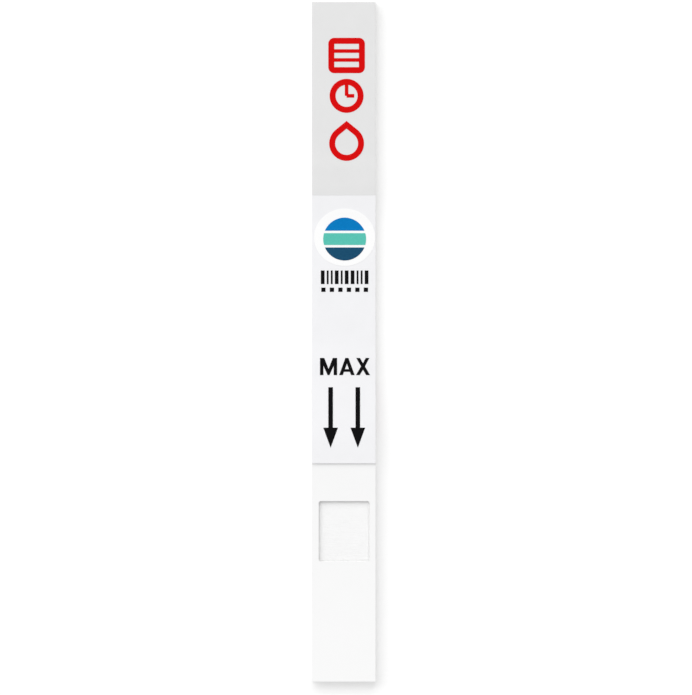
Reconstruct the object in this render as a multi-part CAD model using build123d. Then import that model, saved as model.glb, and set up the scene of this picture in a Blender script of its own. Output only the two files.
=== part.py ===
from build123d import *
import math
import os

# Drug test strip: a laminated dip strip that lies flat on its backing card.
# X runs across the strip, Y along it with the handle end at +Y, Z is up and
# the card lies on Z = 0. All distances are in millimetres. Distances along
# the strip are counted from the dip end, which is at Y = -strip_length / 2.

# Backing card
strip_length = 80.0
strip_width = 7.5
card_thickness = 0.35

# Soft layers on the card, laid out from the handle end towards the dip end
absorbent_length = 21.8
absorbent_thickness = 0.40
membrane_length = 25.0
membrane_thickness = 0.28
conjugate_length = 8.0
conjugate_thickness = 0.32
sample_thickness = 0.38
layer_overlap = 2.0  # each soft layer laps over its neighbour by this much
lap_squeeze = 0.85  # share of the lapped layer's height that is pressed away
pad_ramp = 0.3  # length over which a pad climbs on to its neighbour

# Window cover on the dip end
cover_thickness = 0.30
cover_setback = 1.2  # from the lap of the sample pad, so it lies on the flat
window_width = 6.0
window_shift = 0.05  # the window sits a little off the middle
window_length = 7.1
window_below_film = 4.45  # from the end of the film to the window
window_corner = 0.3

# Printed cover film, which ends in a step on the window cover
film_thickness = 0.18
film_lap = 2.3  # over the window cover
film_slope = 0.045  # steepest rise the stiff film takes over a step
film_bend = 25.0  # radius of its bends

# Grey handle label
label_length = 22.75
label_thickness = 0.03

# Print
ink_thickness = 0.02
print_shift = 0.1  # the print sits a little off the middle
arrow_length = 7.1
arrow_shaft = 0.54
arrow_head_width = 1.73
arrow_head_length = 2.35
arrow_spacing = 3.2
arrow_setback = 1.85  # from the end of the film to the tip of an arrow
patch_width = 7.2
patch_height = 6.75
patch_rise = 0.2  # the patch sits a little above the emblem
emblem_diameter = 5.05
emblem_gap = 0.3
emblem_below_label = 5.15
code_width = 5.6
code_height = 1.6
code_below_emblem = 4.5
dot_size = 0.5
dot_gap = 0.5

# Marks on the handle, each placed by its middle
mark_stroke = 0.7
fine_stroke = 0.42
mark_shift = 0.33
drop_width = 4.1
drop_height = 4.7
drop_from_handle_end = 16.35
clock_diameter = 4.0
clock_from_handle_end = 11.05
panel_width = 4.3
panel_height = 4.15
panel_line_spacing = 1.05
panel_from_handle_end = 6.3

# Where each layer begins and ends along the strip
absorbent_start = strip_length - absorbent_length
membrane_end = absorbent_start + layer_overlap
membrane_start = membrane_end - membrane_length
conjugate_end = membrane_start + layer_overlap
conjugate_start = conjugate_end - conjugate_length
sample_end = conjugate_start + layer_overlap
cover_end = conjugate_start - cover_setback
film_start = cover_end - film_lap
label_start = strip_length - label_length
emblem_middle = label_start - emblem_below_label
code_middle = emblem_middle - code_below_emblem

# How high the top of each layer lies
membrane_top = card_thickness + membrane_thickness
conjugate_top = card_thickness + conjugate_thickness
conjugate_lap_top = conjugate_top + (1 - lap_squeeze) * membrane_thickness
sample_top = card_thickness + sample_thickness
sample_lap_top = sample_top + (1 - lap_squeeze) * conjugate_thickness
absorbent_top = card_thickness + absorbent_thickness
absorbent_lap_top = absorbent_top + (1 - lap_squeeze) * membrane_thickness
cover_top = sample_top + cover_thickness
above_all = 4 * cover_top


def along(distance):
    """Y of a point this far from the dip end."""
    return distance - strip_length / 2


def slab(start, end, low, high):
    """Flat layer over the full width of the strip."""
    size = Box(strip_width, end - start, high - low, align=(Align.CENTER, Align.MIN, Align.MIN))
    return Pos(0, along(start), low) * size


def across(outline):
    """Side outline in the YZ plane, carried over the full width of the strip."""
    return extrude(Plane.YZ * outline, strip_width / 2, both=True)


def lapped_pad(far_end, lap, tip, thickness, step):
    """Pad that lies on the card as far as the lap, then on a layer of height step to its tip."""
    top = card_thickness + thickness
    lap_top = top + (1 - lap_squeeze) * step
    ramp = math.copysign(pad_ramp, tip - far_end)
    points = [
        (far_end, card_thickness),
        (lap, card_thickness),
        (lap, card_thickness + step),
        (tip, card_thickness + step),
        (tip, lap_top),
        (lap, lap_top),
        (lap - ramp, top),
        (far_end, top),
    ]
    return across(Polygon(*[(along(s), z) for s, z in points], align=None))


def window_cover():
    """Sheet over the sample pad with a die-cut window."""
    sheet = slab(0, cover_end, sample_top, cover_top)
    middle = along(film_start - window_below_film - window_length / 2)
    window = RectangleRounded(window_width, window_length, window_corner)
    return sheet - extrude(Pos(window_shift, middle, sample_top) * window, cover_thickness)


# The film is drawn over the flats of the layers under it. It is never below
# a flat and never steeper than film_slope, and it is taut between two flats
# that are too close for it to come down in between.


def flats_under_film():
    """Start, end and height of each flat, made longer by what a bend of the film needs."""
    flats = [
        (film_start, cover_end, cover_top),
        (cover_end, conjugate_start, sample_top),
        (conjugate_start, sample_end, sample_lap_top),
        (sample_end, membrane_start, conjugate_top),
        (membrane_start, conjugate_end, conjugate_lap_top),
        (conjugate_end, absorbent_start, membrane_top),
        (absorbent_start, membrane_end, absorbent_lap_top),
        (membrane_end, strip_length, absorbent_top),
    ]
    spare = film_bend * math.tan(math.atan(film_slope) / 2)
    return [(start - spare, end + spare, top) for start, end, top in flats]


def film_turns(flats):
    """Places where the underside of the film may turn: where lines of two flats cross."""
    turns = [edge for start, end, top in flats for edge in (start, end)]
    for start, end, top in flats:
        for other_start, other_end, other_top in flats:
            run = (top - other_top) / film_slope
            turns += [end + run, start - run, (end + other_start + run) / 2]
    inside = sorted(s for s in turns if film_start < s < strip_length)
    return [film_start, *inside, strip_length]


def film_corners():
    """Corners of the underside of the film."""
    flats = flats_under_film()
    path = []
    for s in film_turns(flats):
        z = max(top - film_slope * max(start - s, s - end, 0) for start, end, top in flats)
        if not path or s - path[-1][0] > 1e-4:
            path.append((s, z))
    corners = [path[0]]
    for point, after in zip(path[1:-1], path[2:]):
        before = corners[-1]
        slope = (after[1] - before[1]) / (after[0] - before[0])
        if abs(before[1] + slope * (point[0] - before[0]) - point[1]) > 1e-5:
            corners.append(point)
    corners.append(path[-1])
    taut = [corners[0]]
    for point, after in zip(corners[1:-1], corners[2:]):
        if point[1] > min(taut[-1][1], after[1]) - 1e-5:
            taut.append(point)
    return [*taut, corners[-1]]


def bend_radii(corners):
    """Radius of each bend: film_bend, or less where two corners are close."""
    radii = []
    for (s0, z0), (s1, z1), (s2, z2) in zip(corners, corners[1:], corners[2:]):
        turn = abs(math.atan2(z2 - z1, s2 - s1) - math.atan2(z1 - z0, s1 - s0))
        room = 0.45 * min(s1 - s0, s2 - s1)
        radii.append(min(film_bend, room / math.tan(turn / 2)))
    return radii


corners = film_corners()
film_underside = FilletPolyline(*[(along(s), z) for s, z in corners], radius=bend_radii(corners))


def blanket(low, high):
    """Thin layer over the full width that follows the film, from low to high above its underside."""
    under = Pos(0, low) * film_underside
    over = Pos(0, high) * film_underside
    ends = [Line(under @ 0, over @ 0), Line(under @ 1, over @ 1)]
    return across(make_face([*under.edges(), *over.edges(), *ends]))


def handle_label():
    """Label on the handle, from its lower edge to the end of the strip."""
    layer = blanket(film_thickness, film_thickness + label_thickness)
    return layer & slab(label_start, strip_length, 0, above_all)


def printed(shapes, low):
    """Ink of these flat shapes, lying on the surface that is low above the film's underside."""
    return extrude(shapes, above_all) & blanket(low, low + ink_thickness)


def arrows():
    """Two arrows that point to the dip end."""
    tip = along(film_start + arrow_setback)
    neck = tip + arrow_head_length
    half_head = arrow_head_width / 2
    half_shaft = arrow_shaft / 2
    outline = [
        (0, tip),
        (half_head, neck),
        (half_shaft, neck),
        (half_shaft, tip + arrow_length),
        (-half_shaft, tip + arrow_length),
        (-half_shaft, neck),
        (-half_head, neck),
    ]
    arrow = Polygon(*outline, align=None)
    pair = Pos(-arrow_spacing / 2) * arrow + Pos(arrow_spacing / 2) * arrow
    return printed(Pos(print_shift / 2) * pair, film_thickness)


def emblem_patch():
    """White oval ground of the emblem."""
    oval = Ellipse(patch_width / 2, patch_height / 2)
    return printed(Pos(print_shift, along(emblem_middle) + patch_rise) * oval, film_thickness)


def emblem_band(low, high):
    """Band of the emblem disc between two heights over its middle, with half a gap at each."""
    disc = Circle(emblem_diameter / 2)
    band = Pos(0, (low + high) / 2) * Rectangle(emblem_diameter, high - low - emblem_gap)
    return printed(Pos(print_shift, along(emblem_middle)) * (disc & band), film_thickness + ink_thickness)


def code_print():
    """Row of bars of two widths and a row of dots under it."""
    row = along(code_middle)
    bars = (2, 1, 1, 2, 1, 2, 2, 1, 1, 2)
    gap = 1.2
    unit = code_width / (sum(bars) + gap * (len(bars) - 1))
    left = -code_width / 2
    shapes = []
    for bar in bars:
        shapes.append(Pos(left + bar * unit / 2, row) * Rectangle(bar * unit, code_height))
        left += (bar + gap) * unit
    step = dot_size + dot_gap
    count = int((code_width + dot_gap) // step)
    for i in range(count):
        place = Pos((i - (count - 1) / 2) * step, row - (code_height + step) / 2 - dot_gap / 3)
        shapes.append(place * Rectangle(dot_size, dot_size))
    return printed(Pos(print_shift) * Sketch(children=shapes), film_thickness)


def drop_mark():
    """Outline of a drop with its point towards the handle end."""
    radius = drop_width / 2
    rise = drop_height - radius
    touch = math.acos(radius / rise)
    side = (radius * math.sin(touch), radius * math.cos(touch))
    drop = Circle(radius) + Polygon((0, rise), (-side[0], side[1]), (0, 0), side, align=None)
    hollow = offset(drop, -mark_stroke, kind=Kind.INTERSECTION)
    return Pos(0, radius - drop_height / 2) * (drop - hollow)


def clock_mark():
    """Ring with two hands."""
    radius = clock_diameter / 2
    ring = Circle(radius) - Circle(radius - mark_stroke)
    upright = Rectangle(fine_stroke, radius - mark_stroke / 2, align=(Align.CENTER, Align.MIN))
    level = Rectangle(radius * 0.45, fine_stroke, align=(Align.MIN, Align.CENTER))
    return ring + upright + level


def panel_mark():
    """Framed panel with two lines across it."""
    inside = (panel_width - 2 * mark_stroke, panel_height - 2 * mark_stroke)
    frame = RectangleRounded(panel_width, panel_height, mark_stroke) - Rectangle(*inside)
    line = Rectangle(inside[0], fine_stroke)
    half_spacing = panel_line_spacing / 2
    return frame + Pos(0, half_spacing) * line + Pos(0, -half_spacing) * line


def handle_marks():
    """Three marks for dipping, waiting and reading, one above the other."""
    marks = [
        Pos(0, along(strip_length - drop_from_handle_end)) * drop_mark(),
        Pos(0, along(strip_length - clock_from_handle_end)) * clock_mark(),
        Pos(0, along(strip_length - panel_from_handle_end)) * panel_mark(),
    ]
    return printed(Pos(mark_shift) * Sketch(children=marks), film_thickness + label_thickness)


parts = {
    "backing_card": slab(0, strip_length, 0, card_thickness),
    "membrane": slab(membrane_start, membrane_end, card_thickness, membrane_top),
    "conjugate_pad": lapped_pad(
        conjugate_start, membrane_start, conjugate_end, conjugate_thickness, membrane_thickness
    ),
    "sample_pad": lapped_pad(0, conjugate_start, sample_end, sample_thickness, conjugate_thickness),
    "absorbent_pad": lapped_pad(
        strip_length, membrane_end, absorbent_start, absorbent_thickness, membrane_thickness
    ),
    "window_cover": window_cover(),
    "printed_film": blanket(0, film_thickness),
    "handle_label": handle_label(),
    "handle_marks": handle_marks(),
    "emblem_patch": emblem_patch(),
    "emblem_blue": emblem_band(emblem_diameter / 6, emblem_diameter),
    "emblem_navy": emblem_band(-emblem_diameter, -emblem_diameter / 6),
    "emblem_teal": emblem_band(-emblem_diameter / 6, emblem_diameter / 6),
    "code_print": code_print(),
    "arrows": arrows(),
}

os.makedirs("parts", exist_ok=True)
for node, shape in parts.items():
    export_step(shape, f"parts/{node}.step")
    box = shape.bounding_box()
    print(node, len(shape.solids()), round(shape.volume, 3), box.min, box.max)
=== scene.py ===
import math

import bmesh
import bpy
import numpy as np
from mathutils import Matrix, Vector, noise


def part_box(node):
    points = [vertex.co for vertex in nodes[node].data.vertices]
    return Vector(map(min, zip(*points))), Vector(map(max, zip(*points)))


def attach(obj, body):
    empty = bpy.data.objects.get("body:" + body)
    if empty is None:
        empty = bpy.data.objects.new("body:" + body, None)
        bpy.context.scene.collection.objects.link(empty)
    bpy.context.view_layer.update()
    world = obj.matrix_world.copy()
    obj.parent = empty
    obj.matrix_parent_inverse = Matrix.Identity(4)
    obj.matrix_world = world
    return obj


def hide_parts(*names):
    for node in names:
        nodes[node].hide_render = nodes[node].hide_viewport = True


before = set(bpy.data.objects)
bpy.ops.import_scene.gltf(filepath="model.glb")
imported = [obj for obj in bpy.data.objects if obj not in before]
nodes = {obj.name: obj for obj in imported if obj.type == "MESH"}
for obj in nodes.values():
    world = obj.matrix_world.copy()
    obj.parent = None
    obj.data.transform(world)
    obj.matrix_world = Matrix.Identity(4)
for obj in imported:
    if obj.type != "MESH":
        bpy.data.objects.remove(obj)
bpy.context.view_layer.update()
MM = 0.001


# Measures taken from the CAD nodes

def outline(node, side):
    """Y and Z of a CAD node's upper side (1) or lower side (-1), seen along X."""
    mesh = nodes[node].data
    points = {}
    for face in mesh.polygons:
        if face.normal.z * side > 0.5:
            for index in face.vertices:
                place = mesh.vertices[index].co
                points[round(place.y, 7)] = place.z
    ys = sorted(points)
    return np.array(ys), np.array([points[y] for y in ys])


def height(node, side, y, spread=0.0):
    """Height of a CAD node's upper or lower side at Y, as the mean over a short spread."""
    ys, zs = outlines[node, side]
    return float(np.mean(np.interp([y - spread, y - spread / 2, y, y + spread / 2, y + spread], ys, zs)))


def low(node):
    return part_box(node)[0]


def high(node):
    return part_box(node)[1]


half_width = high("backing_card")[0]
card_top = high("backing_card")[2]
film_end = low("printed_film")[1]
outlines = {(node, side): outline(node, side) for node in nodes for side in (1, -1)}


# Materials

def linear(*rgb):
    """Screen colour from 0 to 255 as a linear colour."""
    return [c / 255 / 12.92 if c < 10.3 else ((c / 255 + 0.055) / 1.055) ** 2.4 for c in rgb] + [1]


class Graph:
    """A new material's nodes, with its coordinates in millimetres."""

    def __init__(self, name, colour, roughness, **sockets):
        self.material = bpy.data.materials.new(name)
        self.material.use_nodes = True
        self.tree = self.material.node_tree
        self.shader = self.tree.nodes["Principled BSDF"]
        self.shader.inputs["Base Color"].default_value = linear(*colour)
        self.shader.inputs["Roughness"].default_value = roughness
        for socket, value in sockets.items():
            self.shader.inputs[socket.replace("_", " ")].default_value = value
        self.place = self.tree.nodes.new("ShaderNodeTexCoord").outputs["Object"]
        self.place = self.mapped((1 / MM, 1 / MM, 1 / MM))

    def node(self, kind, **settings):
        new = self.tree.nodes.new(kind)
        for key, value in settings.items():
            setattr(new, key, value)
        return new

    def join(self, start, end):
        self.tree.links.new(start, end)

    def mapped(self, scale, turn=0.0):
        new = self.node("ShaderNodeMapping")
        new.inputs["Scale"].default_value = scale
        new.inputs["Rotation"].default_value[2] = turn
        self.join(self.place, new.inputs["Vector"])
        return new.outputs["Vector"]

    def noise(self, scale, detail=3.0, stretch=(1, 1, 1), turn=0.0, distortion=0.0):
        """Noise that repeats this often per millimetre."""
        new = self.node("ShaderNodeTexNoise")
        new.inputs["Scale"].default_value = scale
        new.inputs["Detail"].default_value = detail
        new.inputs["Distortion"].default_value = distortion
        self.join(self.mapped(stretch, turn), new.inputs["Vector"])
        return new.outputs["Fac"]

    def ramp(self, value, start, end):
        """The value spread from 0 at start to 1 at end."""
        new = self.node("ShaderNodeMapRange")
        new.inputs["From Min"].default_value = start
        new.inputs["From Max"].default_value = end
        self.join(value, new.inputs["Value"])
        return new.outputs["Result"]

    def maths(self, operation, a, b):
        new = self.node("ShaderNodeMath", operation=operation)
        for socket, value in zip(new.inputs, (a, b)):
            if isinstance(value, (int, float)):
                socket.default_value = value
            else:
                self.join(value, socket)
        return new.outputs["Value"]

    def colours(self, value, first, second):
        new = self.node("ShaderNodeMix", data_type="RGBA")
        new.inputs["A"].default_value = linear(*first)
        new.inputs["B"].default_value = linear(*second)
        self.join(value, new.inputs["Factor"])
        self.join(new.outputs["Result"], self.shader.inputs["Base Color"])

    def cut_tone_and_painted_shade(self, colour):
        """A greyer tone on the upright faces: partly the knife-cut edge's own tone, partly painted shade
        that makes the sides read darker than the level faces.
        """
        level_from, upright_from = 0.8, 0.4  # by the share of the normal that points up or down
        parts = self.node("ShaderNodeSeparateXYZ")
        self.join(self.node("ShaderNodeTexCoord").outputs["Normal"], parts.inputs["Vector"])
        upright = self.ramp(self.maths("ABSOLUTE", parts.outputs["Z"], 0.0), level_from, upright_from)
        new = self.node("ShaderNodeMix", data_type="RGBA")
        self.join(self.shader.inputs["Base Color"].links[0].from_socket, new.inputs["A"])
        new.inputs["B"].default_value = linear(*colour)
        self.join(upright, new.inputs["Factor"])
        self.join(new.outputs["Result"], self.shader.inputs["Base Color"])

    def roughness(self, value, first, second):
        new = self.node("ShaderNodeMapRange")
        new.inputs["To Min"].default_value = first
        new.inputs["To Max"].default_value = second
        self.join(value, new.inputs["Value"])
        self.join(new.outputs["Result"], self.shader.inputs["Roughness"])

    def bump(self, value, depth_mm, strength=1.0):
        new = self.node("ShaderNodeBump")
        new.inputs["Distance"].default_value = depth_mm * MM
        new.inputs["Strength"].default_value = strength
        self.join(value, new.inputs["Height"])
        self.join(new.outputs["Normal"], self.shader.inputs["Normal"])


def fibres(graph, scale):
    """Fine fibres lying in three directions."""
    layers = [
        graph.ramp(graph.noise(scale, 2, (0.12, 1, 1), turn, 0.4), 0.52, 0.68)
        for turn in (0.3, 1.25, 2.3)
    ]
    return graph.maths("MAXIMUM", graph.maths("MAXIMUM", layers[0], layers[1]), layers[2])


def card_material():
    graph = Graph("card_plastic", (246, 246, 245), 0.42, Specular_IOR_Level=0.35)
    cloud = graph.noise(0.35, 4)
    graph.colours(graph.ramp(cloud, 0.3, 0.7), (244, 244, 243), (249, 249, 248))
    # partly painted shade: the card's upright faces are greyer than its level faces
    graph.cut_tone_and_painted_shade((218, 218, 217))
    graph.roughness(graph.noise(2.5, 4, (1, 0.06, 1)), 0.34, 0.55)
    graph.bump(graph.noise(9, 3), 0.004)
    return graph.material


def pad_material(name, first, second, scale, depth):
    graph = Graph(name, first, 0.9, Specular_IOR_Level=0.15)
    mat = fibres(graph, scale)
    cloud = graph.noise(0.9, 4)
    both = graph.maths("ADD", graph.maths("MULTIPLY", mat, 0.4), cloud)
    graph.colours(graph.ramp(both, 0.35, 1.0), first, second)
    graph.bump(graph.maths("ADD", mat, graph.noise(scale * 2.2, 3)), depth)
    return graph.material


EDGE_SHADE = 20  # how much darker a film's cut edge is than its face: partly the cut's own tone, partly painted shade


def film_material(name, first, second, roughness):
    """Satin film with a faint print texture and a slight haze."""
    graph = Graph(name, first, roughness, Specular_IOR_Level=0.3)
    graph.colours(graph.ramp(graph.noise(0.5, 5), 0.32, 0.7), first, second)
    # partly painted shade: the film's upright faces are greyer than its level face
    graph.cut_tone_and_painted_shade([c - EDGE_SHADE for c in second])
    graph.roughness(graph.noise(3.5, 4), roughness - 0.07, roughness + 0.09)
    graph.bump(graph.noise(14, 3, (1, 0.8, 1)), 0.0022)
    return graph.material


def cover_material():
    """Satin sheet, with painted shade that makes it a little greyer towards the film than at the dip
    end.
    """
    graph = Graph("cover_plastic", (249, 249, 249), 0.45, Specular_IOR_Level=0.3)
    parts = graph.node("ShaderNodeSeparateXYZ")
    graph.join(graph.place, parts.inputs["Vector"])
    # painted shade: the sheet's colour darkens from the dip end towards the film end
    painted_shade_fade = graph.ramp(parts.outputs["Y"], film_end / MM, low("window_cover")[1] / MM)
    cloud = graph.maths("MULTIPLY", graph.ramp(graph.noise(0.5, 5), 0.32, 0.7), 0.3)
    graph.colours(graph.maths("ADD", painted_shade_fade, cloud), (247, 247, 247), (250, 250, 250))
    # partly painted shade: the cover's upright faces are greyer than its level faces
    graph.cut_tone_and_painted_shade((222, 222, 221))
    graph.roughness(graph.noise(3.5, 4), 0.38, 0.54)
    graph.bump(graph.noise(14, 3, (1, 0.8, 1)), 0.0022)
    return graph.material


def ink_material(name, colour, light=6):
    """Printed ink: slightly uneven in colour, with the smallest relief."""
    graph = Graph(name, colour, 0.6, Specular_IOR_Level=0.06)
    brighter = [min(c + light, 255) for c in colour]
    graph.colours(graph.ramp(graph.noise(5, 4), 0.35, 0.7), colour, brighter)
    graph.bump(graph.noise(18, 2), 0.002)
    return graph.material


materials = {
    "backing_card": card_material(),
    "membrane": pad_material("nitrocellulose", (249, 249, 246), (246, 246, 243), 16, 0.002),
    "conjugate_pad": pad_material("glass_fibre", (241, 228, 229), (232, 213, 216), 9, 0.012),
    "sample_pad": pad_material("cotton_paper", (250, 250, 250), (248, 248, 248), 8, 0.008),
    "absorbent_pad": pad_material("blotting_paper", (248, 248, 244), (240, 240, 235), 7, 0.016),
    "window_cover": cover_material(),
    "printed_film": film_material("film_plastic", (244, 244, 246), (242, 242, 244), 0.42),
    "handle_label": film_material("grey_label", (229, 229, 229), (227, 227, 227), 0.48),
    "handle_marks": ink_material("ink_red", (212, 3, 4)),
    "emblem_patch": ink_material("ink_white", (253, 253, 253), 1),
    "emblem_blue": ink_material("ink_blue", (0, 119, 189)),
    "emblem_navy": ink_material("ink_navy", (22, 73, 105)),
    "emblem_teal": ink_material("ink_teal", (89, 193, 177)),
    "code_print": ink_material("ink_black", (5, 5, 7), 4),
}
materials["arrows"] = materials["code_print"]


def paint(piece, material):
    piece.data.materials.clear()
    piece.data.materials.append(material)


# Layers kept from the CAD: eased edges and a finish

def ease(node, radius_mm, segments=2):
    """Welds a CAD node's faces and takes its sharp edges off, as a blade or a die leaves them."""
    piece = nodes[node]
    weld = piece.modifiers.new("weld", "WELD")
    weld.merge_threshold = 1e-7
    bevel = piece.modifiers.new("edge", "BEVEL")
    bevel.width = radius_mm * MM
    bevel.segments = segments
    bevel.limit_method = "ANGLE"
    bevel.angle_limit = math.radians(35)
    bevel.harden_normals = True
    return piece


ease("backing_card", 0.05)
ease("window_cover", 0.025)
for name in (
    "backing_card", "window_cover", "handle_marks", "emblem_patch",
    "emblem_blue", "emblem_navy", "emblem_teal", "code_print", "arrows",
):
    paint(nodes[name], materials[name])


# Felts and films, modelled anew

def stations(start, end, step, edge):
    """Places from start to end, closer together at both ends."""
    near = edge * np.array([0, 0.3, 0.65, 1, 1.8, 3, 5])
    margin = 8 * edge
    count = max(2, round((end - start - 2 * margin) / step) + 1)
    middle = np.linspace(start + margin, end - margin, count)
    return np.array([*(start + near), *middle, *(end - near[::-1])])


def closer(places, walls):
    """The same places, with more of them beside each wall."""
    near = np.array([-0.2, -0.13, -0.08, -0.04, 0, 0.04, 0.08, 0.13, 0.2]) * MM
    return np.unique(np.round(np.concatenate([places, *(wall + near for wall in walls)]), 8))


def lattice(name, cells, place):
    """Closed mesh round a block of this many cells, with each corner where place puts it."""
    nx, ny, nz = cells
    index, verts, faces = {}, [], []

    def quad(*corners):
        for corner in corners:
            if corner not in index:
                index[corner] = len(verts)
                verts.append(place(*corner)[:])
        faces.append([index[corner] for corner in corners])

    for i in range(nx):
        for j in range(ny):
            quad((i, j, nz), (i + 1, j, nz), (i + 1, j + 1, nz), (i, j + 1, nz))
            quad((i, j, 0), (i, j + 1, 0), (i + 1, j + 1, 0), (i + 1, j, 0))
    for k in range(nz):
        for j in range(ny):
            quad((0, j, k), (0, j, k + 1), (0, j + 1, k + 1), (0, j + 1, k))
            quad((nx, j, k), (nx, j + 1, k), (nx, j + 1, k + 1), (nx, j, k + 1))
        for i in range(nx):
            quad((i, 0, k), (i + 1, 0, k), (i + 1, 0, k + 1), (i, 0, k + 1))
            quad((i, ny, k), (i, ny, k + 1), (i + 1, ny, k + 1), (i + 1, ny, k))
    mesh = bpy.data.meshes.new(name)
    mesh.from_pydata(verts, [], faces)
    mesh.shade_smooth()
    piece = bpy.data.objects.new(name, mesh)
    bpy.context.scene.collection.objects.link(piece)
    return piece


def rounded(point, inner):
    """The point of a block's corner region moved from the square corner on to a round one."""
    away = point - inner
    if away.length < 1e-9:
        return point
    return inner + away * (max(abs(away.x), abs(away.y), abs(away.z)) / away.length)


def layer(name, ys, under, over, edge, ragged, step=0.14 * MM, grain=0.25, shape=None, walls=()):
    """Full-width layer between two heights, with rounded and slightly ragged cut edges.

    edge is the rounding, ragged the depth of the fraying and grain its size in millimetres.
    """
    xs = closer(stations(-half_width, half_width, step, edge), walls)
    levels = np.array([0, 0.12, 0.3, 0.5, 0.7, 0.88, 1])
    start, end = ys[0], ys[-1]
    shift = Vector((len(name) * 3.1, len(name) * 1.7, 0.9))  # so that no two layers fray alike

    def place(i, j, k):
        x, y, level = xs[i], ys[j], levels[k]
        bottom, top = under(y), over(y)
        point = Vector((x, y, bottom + (top - bottom) * level))
        if point.z > (bottom + top) / 2:
            point = rounded(point, Vector((
                min(max(x, -half_width + edge), half_width - edge),
                min(max(y, start + edge), end - edge),
                min(max(point.z, bottom + 0.2 * edge), top - edge),
            )))
        rough = noise.noise(point / (grain * MM) + shift)
        fine = noise.noise(point / (0.35 * grain * MM) - shift)
        pull = abs(rough + 0.6 * fine) * ragged * 0.9
        at_side = i in (0, len(xs) - 1)
        at_end = j in (0, len(ys) - 1)
        if at_side:
            point.x -= math.copysign(pull, x)
        if at_end:
            point.y += pull if j == 0 else -pull
        if k == len(levels) - 1 and not (at_side or at_end):
            point.z += (rough * 0.35 + fine * 0.3) * ragged
        if shape:
            point.z += shape(x, y, level)
        return point

    return lattice(name, (len(xs) - 1, len(ys) - 1, len(levels) - 1), place)


def felt(name, node, lap_y, step_z, edge, ragged, grain, shape=None, walls=((), ())):
    """Pad that lies on the card as far as lap_y, and from there on the layer of height step_z."""
    ys = outlines[node, 1][0]
    outward = 1 if abs(ys[-1] - lap_y) < abs(ys[0] - lap_y) else -1

    def under(y):
        return step_z if (y - lap_y) * outward > 1e-7 else card_top

    along = stations(ys[0], ys[-1], 0.15 * MM, edge)
    foot = lap_y + np.array([-0.3, -0.02, 0, 0.02, 0.3]) * MM
    along = closer(np.concatenate([along, foot]), walls[1])
    return layer(
        name, along, under, lambda y: height(node, 1, y), edge, ragged,
        grain=grain, shape=shape, walls=walls[0],
    )


def bell(distance, reach):
    """1 at a distance of 0, and fading out smoothly over the reach."""
    return math.exp(-((distance / reach) ** 2))


# The cover's window, in millimetres, with the same sizes as in the CAD
WINDOW_WIDTH = 6.0
WINDOW_SHIFT = 0.05
WINDOW_LENGTH = 7.1
WINDOW_BELOW_FILM = 4.45
window_middle = (WINDOW_SHIFT * MM, film_end - (WINDOW_BELOW_FILM + WINDOW_LENGTH / 2) * MM)
window_half = (WINDOW_WIDTH / 2 * MM, WINDOW_LENGTH / 2 * MM)
window_walls = [[middle - half, middle + half] for middle, half in zip(window_middle, window_half)]
CROWN_HEIGHT = 0.03 * MM
CROWN_REACH = 1.2 * MM
CREASE_DEPTH = 0.08 * MM
CREASE_WIDTH = 0.11 * MM


def window_swell(x, y, level):
    """The pad rises a little where the cover leaves it free, and sinks at the foot of its walls."""
    across = window_half[0] - abs(x - window_middle[0])
    along = window_half[1] - abs(y - window_middle[1])
    inside = min(across, along)
    if inside <= 0:
        return 0.0
    crown = CROWN_HEIGHT * (1 - bell(inside, CROWN_REACH))
    crease = CREASE_DEPTH * bell(inside, CREASE_WIDTH)
    return (crown - crease) * level


SOFT = 0.3 * MM  # the spread over which film and label smooth the CAD's profile
FILM_EDGE = 0.02 * MM
LABEL_EDGE = 0.008 * MM
KNIFE_IN = (0.018 * MM, 0.3 * MM)  # depth and reach of the cut edge at -X
KNIFE_OUT = (0.004 * MM, 0.13 * MM)  # and at +X
LABEL_THINNING = (0.02 * MM, 0.7 * MM)  # depth and reach at its lower edge


def cut_edge(x):
    """How far the knife has pressed the film down along its long edges, more where it went in."""
    depth, reach = KNIFE_IN if x < 0 else KNIFE_OUT
    return depth * bell(half_width - abs(x), reach)


def thin_edge(y):
    """How much thinner the label is pressed towards its lower edge."""
    depth, reach = LABEL_THINNING
    return depth * bell(y - label_ys[0], reach)


film_ys = stations(film_end, high("printed_film")[1], 0.25 * MM, FILM_EDGE)
label_ys = stations(low("handle_label")[1], high("handle_label")[1], 0.25 * MM, LABEL_EDGE)
new_pieces = {
    "membrane": layer(
        "membrane_layer", stations(low("membrane")[1], high("membrane")[1], 0.4 * MM, 0.03 * MM),
        lambda y: card_top, lambda y: high("membrane")[2], 0.03 * MM, 0.008 * MM, grain=0.5,
    ),
    "conjugate_pad": felt(
        "conjugate_felt", "conjugate_pad", low("membrane")[1], high("membrane")[2],
        0.06 * MM, 0.03 * MM, 0.22,
    ),
    "sample_pad": felt(
        "sample_felt", "sample_pad",
        low("conjugate_pad")[1], height("conjugate_pad", 1, low("conjugate_pad")[1]),
        0.06 * MM, 0.03 * MM, 0.25, window_swell, window_walls,
    ),
    "absorbent_pad": felt(
        "absorbent_felt", "absorbent_pad", high("membrane")[1], high("membrane")[2],
        0.06 * MM, 0.035 * MM, 0.3,
    ),
    "printed_film": layer(
        "film_sheet", film_ys,
        lambda y: height("printed_film", -1, y, SOFT), lambda y: height("printed_film", 1, y, SOFT),
        FILM_EDGE, 0.003 * MM, step=0.4 * MM, grain=0.6, shape=lambda x, y, level: -cut_edge(x) * level,
    ),
    "handle_label": layer(
        "label_sheet", label_ys,
        lambda y: height("printed_film", 1, y, SOFT), lambda y: height("handle_label", 1, y, SOFT),
        LABEL_EDGE, 0.001 * MM, step=0.4 * MM, grain=0.6,
        shape=lambda x, y, level: -cut_edge(x) - thin_edge(y) * level,
    ),
}

for node, piece in new_pieces.items():
    paint(piece, materials[node])
    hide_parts(node)
    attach(piece, "root")


# Fill line lettering

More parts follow.
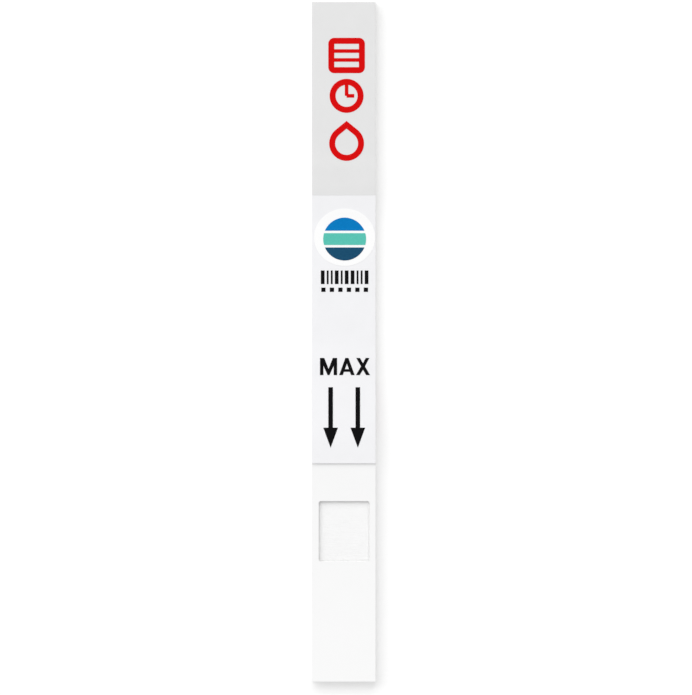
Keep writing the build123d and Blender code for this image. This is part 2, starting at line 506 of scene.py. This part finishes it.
WORD_ABOVE_FILM_END = 10.38 * MM
LETTER_HEIGHT = 2.02
INK_THICKNESS = 0.02 * MM
LETTERS = (  # M, A and X: place of the left side, outline and hole, in millimetres
    (-2.8, [
        (0, 0), (0, LETTER_HEIGHT), (0.5, LETTER_HEIGHT), (1.005, 0.72),
        (1.51, LETTER_HEIGHT), (2.01, LETTER_HEIGHT), (2.01, 0), (1.61, 0),
        (1.61, 1.1), (1.11, 0), (0.9, 0), (0.4, 1.1), (0.4, 0),
    ], []),
    (-0.545, [
        (0, 0), (0.73, LETTER_HEIGHT), (1.095, LETTER_HEIGHT), (1.825, 0),
        (1.4, 0), (1.259, 0.39), (0.566, 0.39), (0.425, 0),
    ], [(0.678, 0.7), (0.9125, 1.35), (1.147, 0.7)]),
    (1.43, [
        (0, 0), (0.6, 1.03), (0.03, LETTER_HEIGHT), (0.48, LETTER_HEIGHT), (0.83, 1.4),
        (1.15, LETTER_HEIGHT), (1.59, LETTER_HEIGHT), (1.06, 1.03),
        (1.66, 0), (1.21, 0), (0.83, 0.63), (0.43, 0),
    ], []),
)


def flat_letter(bm, x, y, outline, hole):
    """One flat letter with its lower left corner at x, y."""
    edges = []
    for loop in filter(None, (outline, hole)):
        verts = [bm.verts.new((x + u * MM, y + v * MM, 0)) for u, v in loop]
        edges += [bm.edges.new((a, b)) for a, b in zip(verts, verts[1:] + verts[:1])]
    bmesh.ops.triangle_fill(bm, edges=edges, use_beauty=True)


def cut_at(bm, y):
    """Cuts the flat letters along a line across the strip, so that they can bend there."""
    geometry = bm.verts[:] + bm.edges[:] + bm.faces[:]
    bmesh.ops.bisect_plane(bm, geom=geometry, plane_co=(0, y, 0), plane_no=(0, 1, 0), dist=1e-8)


def thicken(bm, thickness):
    """Turns flat faces into a closed solid that rises from them."""
    for face in bm.faces:
        if face.normal.z > 0:
            face.normal_flip()
    grown = bmesh.ops.extrude_face_region(bm, geom=bm.faces[:])
    risen = [item for item in grown["geom"] if isinstance(item, bmesh.types.BMVert)]
    bmesh.ops.translate(bm, vec=(0, 0, thickness), verts=risen)
    bmesh.ops.recalc_face_normals(bm, faces=bm.faces)


def fill_line_word():
    """The word MAX in ink, following the film that it lies on."""
    bm = bmesh.new()
    base = film_end + WORD_ABOVE_FILM_END
    for x, outline, hole in LETTERS:
        flat_letter(bm, x * MM, base, outline, hole)
    for y in film_ys:
        if base < y < base + LETTER_HEIGHT * MM:
            cut_at(bm, y)
    for vertex in bm.verts:
        vertex.co.z = height("printed_film", 1, vertex.co.y, SOFT)
    thicken(bm, INK_THICKNESS)
    mesh = bpy.data.meshes.new("fill_line_word")
    bm.to_mesh(mesh)
    bm.free()
    piece = bpy.data.objects.new("fill_line_word", mesh)
    bpy.context.scene.collection.objects.link(piece)
    return piece


word = fill_line_word()
paint(word, materials["code_print"])
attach(word, "root")


# Floor, light and camera

FLOOR_HALF = 0.22
FLOOR_DROP = 0.00001
FLOOR_COLOUR = (0.95, 0.95, 0.95, 1)
FLOOR_GLOW = 0.115
SKY = 0.67
KEY = 0.61  # brightness that the lamp alone gives a level white face
KEY_TURN = math.radians(28)  # from +Y towards -X
KEY_RISE = math.radians(34)
KEY_DISTANCE = 3.0
KEY_WIDTH = 7.0
KEY_TALL = 2.25
PICTURE_HEIGHT = 695
PIXELS_PER_MM = 8.5
LENS = 135
SENSOR_HEIGHT = 36
CAMERA_X = 0.26 * MM
CAMERA_Y = -0.67 * MM
SHARP_HEIGHT = 1.1 * MM  # height over the floor at which the picture has its scale


def maximum(tree, a, b, clamp=False):
    """A node that gives the larger of two values."""
    new = tree.nodes.new("ShaderNodeMath")
    new.operation = "MAXIMUM"
    new.use_clamp = clamp
    tree.links.new(a, new.inputs[0])
    tree.links.new(b, new.inputs[1])
    return new.outputs[0]


def seen_directly(tree):
    """1 for camera, mirror and see-through rays, else 0."""
    path = tree.nodes.new("ShaderNodeLightPath").outputs
    either = maximum(tree, path["Is Camera Ray"], path["Is Glossy Ray"], clamp=True)
    return maximum(tree, either, path["Is Transmission Ray"])


def floor_material():
    """White paper that the camera sees a little brighter, so that it comes out white."""
    material = bpy.data.materials.new("floor_paper")
    material.use_nodes = True
    tree = material.node_tree
    tree.nodes.clear()
    diffuse = tree.nodes.new("ShaderNodeBsdfDiffuse")
    diffuse.inputs["Color"].default_value = FLOOR_COLOUR
    glow = tree.nodes.new("ShaderNodeEmission")
    both = tree.nodes.new("ShaderNodeAddShader")
    strength = tree.nodes.new("ShaderNodeMath")
    strength.operation = "MULTIPLY"
    strength.inputs[1].default_value = FLOOR_GLOW
    tree.links.new(seen_directly(tree), strength.inputs[0])
    tree.links.new(strength.outputs[0], glow.inputs["Strength"])
    tree.links.new(diffuse.outputs[0], both.inputs[0])
    tree.links.new(glow.outputs[0], both.inputs[1])
    out = tree.nodes.new("ShaderNodeOutputMaterial")
    tree.links.new(both.outputs[0], out.inputs["Surface"])
    return material


def lay_floor():
    """The pale floor, a hair below the strip."""
    side = FLOOR_HALF
    mesh = bpy.data.meshes.new("floor")
    corners = [(-side, -side, 0), (side, -side, 0), (side, side, 0), (-side, side, 0)]
    mesh.from_pydata(corners, [], [(0, 1, 2, 3)])
    floor = bpy.data.objects.new("floor", mesh)
    floor.location.z = -FLOOR_DROP
    bpy.context.scene.collection.objects.link(floor)
    paint(floor, floor_material())
    return floor


def set_sky():
    """An even pale sky, which looks white where it is seen directly."""
    world = bpy.data.worlds.new("studio")
    bpy.context.scene.world = world
    world.use_nodes = True
    tree = world.node_tree
    sky = tree.nodes["Background"]
    sky.inputs["Color"].default_value = (1, 1, 1, 1)
    blend = tree.nodes.new("ShaderNodeMapRange")
    blend.inputs["To Min"].default_value = SKY
    blend.inputs["To Max"].default_value = 1.0
    tree.links.new(seen_directly(tree), blend.inputs["Value"])
    tree.links.new(blend.outputs["Result"], sky.inputs["Strength"])


def hang_lamp():
    """One wide soft lamp beyond the handle end, a little to the left."""
    lamp = bpy.data.lights.new("key", "AREA")
    lamp.shape = "RECTANGLE"
    lamp.size = KEY_WIDTH
    lamp.size_y = KEY_TALL
    lamp.energy = KEY * math.pi ** 2 * KEY_DISTANCE ** 2 / math.sin(KEY_RISE)
    key = bpy.data.objects.new("key", lamp)
    toward = Vector((
        -math.sin(KEY_TURN) * math.cos(KEY_RISE),
        math.cos(KEY_TURN) * math.cos(KEY_RISE),
        math.sin(KEY_RISE),
    ))
    key.location = toward * KEY_DISTANCE
    key.rotation_euler = toward.to_track_quat("Z", "Y").to_euler()
    key.visible_camera = False
    bpy.context.scene.collection.objects.link(key)


def place_camera():
    """A long lens straight above the strip."""
    data = bpy.data.cameras.new("camera")
    data.sensor_fit = "VERTICAL"
    data.sensor_height = SENSOR_HEIGHT
    data.lens = LENS
    data.clip_start = 0.01
    data.clip_end = 20
    camera = bpy.data.objects.new("camera", data)
    reach = PICTURE_HEIGHT / PIXELS_PER_MM * MM * LENS / SENSOR_HEIGHT
    camera.location = (CAMERA_X, CAMERA_Y, reach + SHARP_HEIGHT)
    bpy.context.scene.collection.objects.link(camera)
    return camera


lay_floor()
set_sky()
hang_lamp()
bpy.context.scene.camera = place_camera()
bpy.context.scene.view_settings.view_transform = "Standard"
